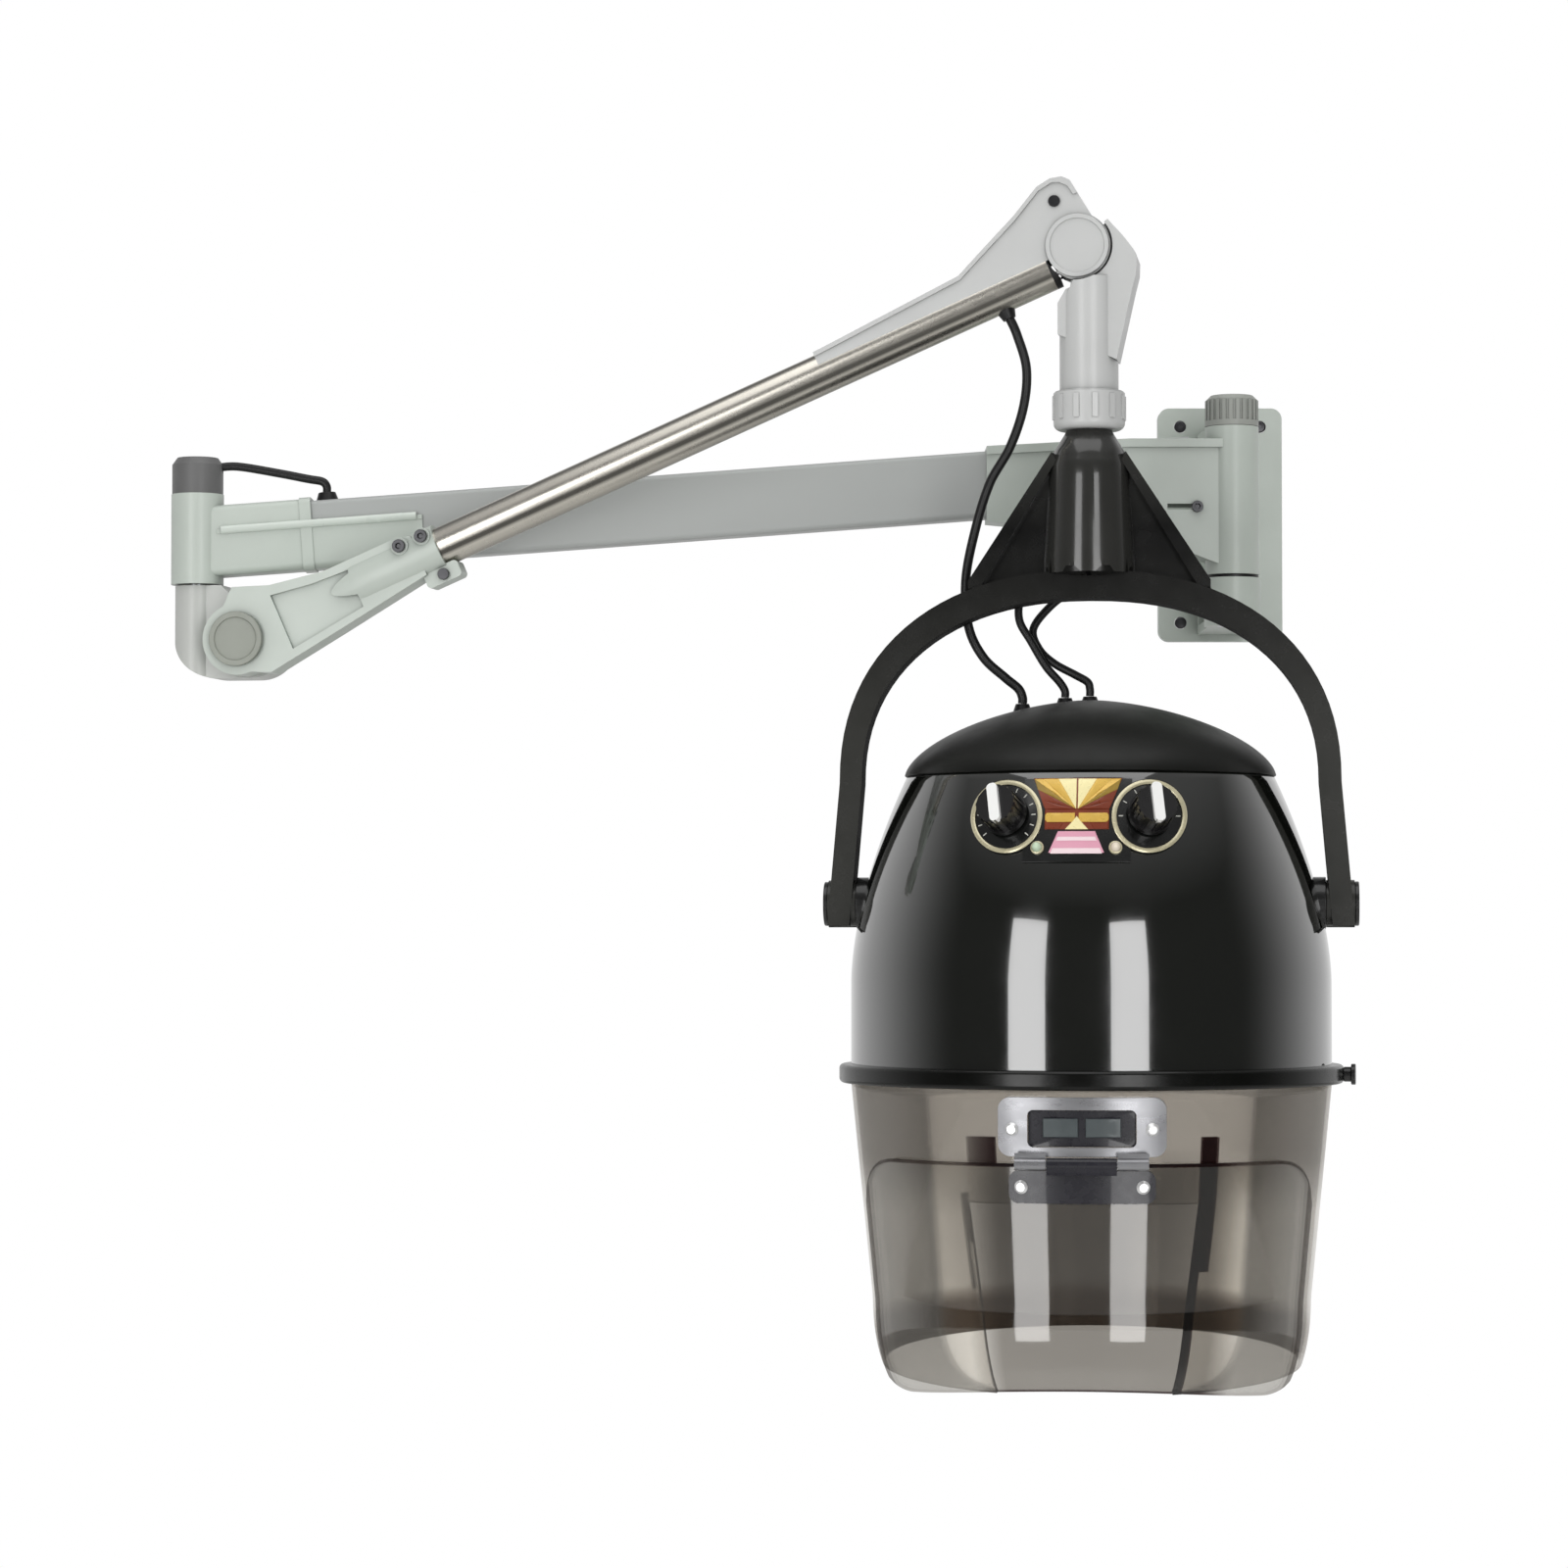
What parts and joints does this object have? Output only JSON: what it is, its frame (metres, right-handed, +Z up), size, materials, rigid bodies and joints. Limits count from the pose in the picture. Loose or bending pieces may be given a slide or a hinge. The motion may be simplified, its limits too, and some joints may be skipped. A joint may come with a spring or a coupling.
{
  "type": "wall-mounted hood hair dryer",
  "caption": "Salon hood hair dryer on a folding wall arm: swivelling bracket, levelled rising forearm, tilting hood in a yoke, smoked skirt and flip-up visor.",
  "frame": {"origin": "centre of the wall plate's back face, on the wall", "axes": "+Z up, the wall is the plane Y = 0, and the dryer stands out from it towards -Y"},
  "size_m": [0.8226, 0.3986, 0.8171],
  "materials": {
    "casting_paint": "satin pale grey-green",
    "arm_paint": "satin light grey",
    "pale_paint": "satin very pale grey",
    "knuckle_paint": "satin warm grey",
    "pin_steel": "ground",
    "spring_steel": "oiled",
    "cap_grey": "fine grain",
    "bush_plastic": "natural",
    "black_rubber": "matt",
    "tube_chrome": "polished",
    "screw_steel": "plated",
    "yoke_black": "satin black",
    "end_cap_black": "moulded",
    "cap_charcoal": "satin",
    "shell_black": "gloss",
    "flange_black": "satin",
    "smoke_clear": "smoked, see-through",
    "bowl_grey": "moulded",
    "motor_metal": "semi-gloss",
    "plate_metal": "mill",
    "heater_wire": "heat-tinted",
    "panel_black": "gloss",
    "trim_gold": "brushed",
    "label_pink": "plain",
    "lamp_lens": "clear lens",
    "hinge_metal": "plated",
    "leaf_dark": "satin"
  },
  "bodies": {
    "wall_bracket": {"wall_plate": "casting_paint", "wall_pivot_pin": "pin_steel", "wall_pin_cap": "cap_grey", "wall_thrust_washer": "black_rubber"},
    "wall_arm": {"wall_sleeve": "casting_paint", "wall_bushes": "bush_plastic", "clamp_screw": "screw_steel", "arm_tube": "arm_paint", "elbow_casting": "casting_paint", "elbow_bush": "bush_plastic", "elbow_cap": "cap_grey", "loop_grommet": "black_rubber", "elbow_loop_cable": "black_rubber"},
    "elbow_knuckle": {"knuckle": "knuckle_paint", "elbow_pin": "pin_steel", "lift_spring": "spring_steel"},
    "forearm": {"lower_casting": "casting_paint", "fore_tube": "tube_chrome", "upper_fork": "pale_paint", "lift_bolt": "knuckle_paint", "head_bolt": "pale_paint", "spacer_rivet": "screw_steel", "socket_screws": "screw_steel", "cord_grommet": "black_rubber", "tube_end_plug": "black_rubber"},
    "level_link": {"level_link": "pin_steel"},
    "head": {"head_casting": "pale_paint", "head_collar": "pale_paint", "head_bushes": "bush_plastic", "lead_top": "black_rubber"},
    "yoke": {"yoke_hoop": "yoke_black", "yoke_spindle": "pin_steel", "yoke_end_caps": "end_cap_black", "lead_mid": "black_rubber"},
    "hood": {"hood_cap": "cap_charcoal", "hood_shell": "shell_black", "hood_flange": "flange_black", "skirt": "smoke_clear", "inner_bowl": "bowl_grey", "motor": "motor_metal", "motor_plate": "plate_metal", "heater": "heater_wire", "control_panel": "panel_black", "trim_plate": "trim_gold", "label_plate": "label_pink", "lamps": "lamp_lens", "cord_glands": "black_rubber", "side_pivots": "yoke_black", "hinge_upper_leaf": "hinge_metal", "hinge_screws": "screw_steel", "flange_latch": "end_cap_black", "lead_low": "black_rubber", "inner_lead_left": "black_rubber", "inner_lead_right": "black_rubber"},
    "fan": {"fan": "bowl_grey"},
    "timer_knob": {"timer_knob": "panel_black"},
    "heat_knob": {"heat_knob": "panel_black"},
    "visor": {"visor": "smoke_clear", "hinge_lower_leaf": "leaf_dark"}
  },
  "joints": [
    {"name": "wall_swivel", "type": "hinge", "parent": "wall_bracket", "child": "wall_arm", "pos_m": [0, -0.095, 0], "axis": [0, 0, 1], "range_deg": [-3, 95]},
    {"name": "elbow_swivel", "type": "hinge", "parent": "wall_arm", "child": "elbow_knuckle", "pos_m": [-0.73303, -0.095, 0], "axis": [0, 0, -1], "range_deg": [-2, 150]},
    {"name": "forearm_lift", "type": "hinge", "parent": "elbow_knuckle", "child": "forearm", "pos_m": [-0.69761, -0.12535, -0.09163], "axis": [-0.1673, -0.9859, 0], "range_deg": [-26, 6]},
    {"name": "link_turn", "type": "hinge", "parent": "elbow_knuckle", "child": "level_link", "pos_m": [-0.69761, -0.12535, -0.10163], "axis": [-0.1673, -0.9859, 0], "range_deg": [-26, 6]},
    {"name": "head_level", "type": "hinge", "parent": "forearm", "child": "head", "pos_m": [-0.11645, -0.22396, 0.16897], "axis": [-0.1673, -0.9859, 0], "range_deg": [-6, 26], "deforming": ["lead_top"]},
    {"name": "yoke_swivel", "type": "hinge", "parent": "head", "child": "yoke", "pos_m": [-0.11004, -0.22505, 0.04397], "axis": [0, 0, 1], "range_deg": [-60, 60], "deforming": ["lead_mid"]},
    {"name": "hood_tilt", "type": "hinge", "parent": "yoke", "child": "hood", "pos_m": [-0.11004, -0.22505, -0.27703], "axis": [0.9945, -0.1045, 0], "range_deg": [-35, 17], "deforming": ["lead_low", "inner_lead_left", "inner_lead_right"]},
    {"name": "fan_spin", "type": "hinge", "parent": "hood", "child": "fan", "pos_m": [-0.11004, -0.22505, -0.29103], "axis": [0, 0, 1], "continuous": true},
    {"name": "timer_turn", "type": "hinge", "parent": "hood", "child": "timer_knob", "pos_m": [-0.17217, -0.347, -0.22103], "axis": [-0.4227, -0.8295, 0.365], "range_deg": [-130, 130]},
    {"name": "heat_turn", "type": "hinge", "parent": "hood", "child": "heat_knob", "pos_m": [-0.08158, -0.35892, -0.22103], "axis": [0.1936, -0.9107, 0.365], "range_deg": [-90, 90]},
    {"name": "visor_flip", "type": "hinge", "parent": "hood", "child": "visor", "pos_m": [-0.12739, -0.39014, -0.44453], "axis": [-0.9945, 0.1045, 0], "range_deg": [0, 75]}
  ],
  "couplings": [
    {"joint": "link_turn", "follows": "forearm_lift", "ratio": 1},
    {"joint": "head_level", "follows": "forearm_lift", "ratio": -1}
  ]
}
